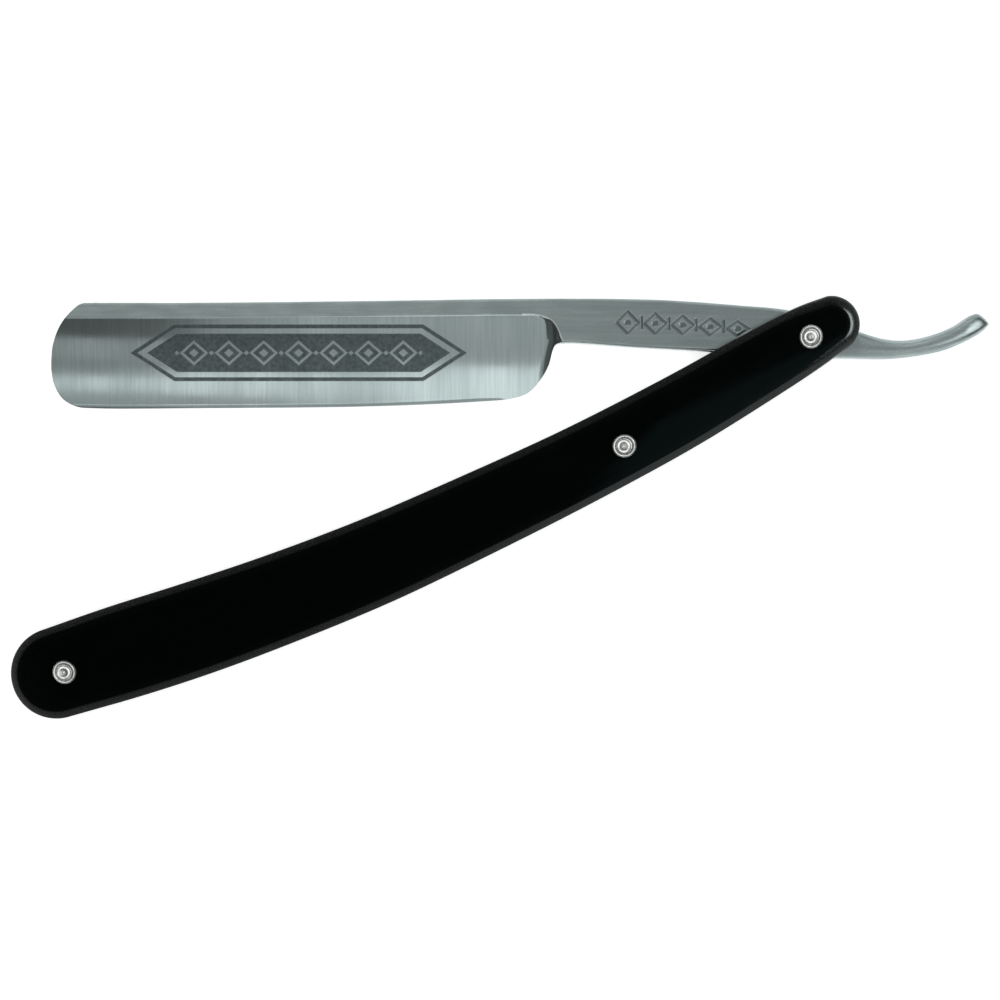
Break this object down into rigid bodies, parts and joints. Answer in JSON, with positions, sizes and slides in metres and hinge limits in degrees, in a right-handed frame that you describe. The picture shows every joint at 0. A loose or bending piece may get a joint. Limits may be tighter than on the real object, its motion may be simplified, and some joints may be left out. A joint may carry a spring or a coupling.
{
  "type": "straight razor",
  "caption": "Folding straight razor with a hollow-ground round-nosed steel blade and curved tail, pinned between slim glossy black scales with cup washers.",
  "frame": {"origin": "centre of the whole razor's box in X and Y, at the height of the lowest cup washer", "axes": "+X from the blade's toe towards the tail, +Y from the blade's edge towards its spine, +Z along the pins towards the front scale"},
  "size_m": [0.1566, 0.0676, 0.0116],
  "materials": {
    "hollow_ground_steel": "satin ground and polished, fine grinding marks across the blade",
    "black_plastic": "buffed gloss black",
    "nickel_silver": "bright turned and peened nickel silver",
    "washer_brass": "plain brass shim"
  },
  "bodies": {
    "handle": {"front_scale": "black_plastic", "rear_scale": "black_plastic", "wedge": "black_plastic", "pivot_pin": "nickel_silver", "middle_pin": "nickel_silver", "wedge_pin": "nickel_silver", "pivot_washer_front": "nickel_silver", "pivot_washer_rear": "nickel_silver", "middle_washer_front": "nickel_silver", "middle_washer_rear": "nickel_silver", "wedge_washer_front": "nickel_silver", "wedge_washer_rear": "nickel_silver", "tang_washer_front": "washer_brass", "tang_washer_rear": "washer_brass"},
    "blade": {"blade": "hollow_ground_steel"}
  },
  "joints": [
    {"name": "blade_pivot", "type": "hinge", "parent": "handle", "child": "blade", "pos_m": [0.04933, 0.02716, 0.00579], "axis": [0, 0, 1], "range_deg": [-270, 22.5]}
  ]
}
